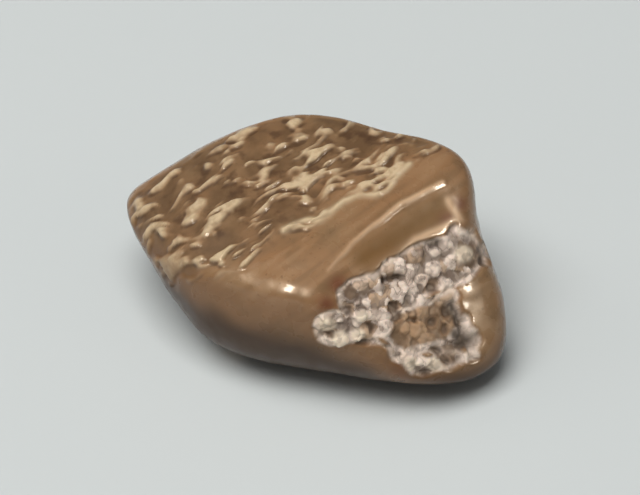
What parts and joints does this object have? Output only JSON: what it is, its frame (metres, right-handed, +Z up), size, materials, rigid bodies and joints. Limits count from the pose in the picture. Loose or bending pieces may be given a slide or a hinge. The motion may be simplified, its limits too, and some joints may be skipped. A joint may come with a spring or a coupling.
{
  "type": "chocolate pebble dragee",
  "caption": "Sugar-shelled chocolate shaped like a river stone, with blunt edges, a crinkled upper shell and pitted crust scars. Lies on a small flat spot.",
  "frame": {"origin": "middle of the foot of the bounding box, on the surface the pebble lies on", "axes": "+X along the length, from the narrow tip to the broad end; +Y to the back of the shown side; +Z up"},
  "size_m": [0.0252, 0.0198, 0.0127],
  "materials": {
    "sugar_shell": "glossy tan-brown sugar shell, crinkled in part, with rough cream crust scars"
  },
  "bodies": {
    "root": {"pebble_dragee": "sugar_shell"}
  },
  "joints": []
}
